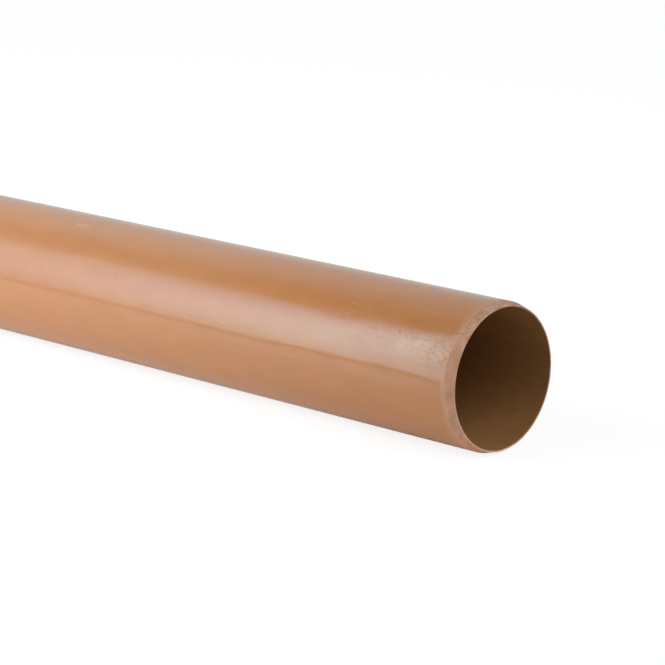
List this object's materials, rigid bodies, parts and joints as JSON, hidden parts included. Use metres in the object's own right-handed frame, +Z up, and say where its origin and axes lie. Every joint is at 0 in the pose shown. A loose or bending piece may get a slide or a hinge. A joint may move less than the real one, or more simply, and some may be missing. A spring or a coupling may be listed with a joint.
{
  "type": "plastic drainage pipe",
  "caption": "Straight plain-ended PVC-U underground drainage pipe, terracotta brown, with both ends chamfered to push into sockets.",
  "frame": {"origin": "on the pipe's axis, halfway along its length", "axes": "+X along the pipe's axis; +Z up with the pipe lying on its side; the pipe is the same all round its axis and at both ends"},
  "size_m": [3, 0.1096, 0.11],
  "materials": {
    "pvc_terracotta": "satin"
  },
  "bodies": {
    "root": {"pipe": "pvc_terracotta"}
  },
  "joints": []
}
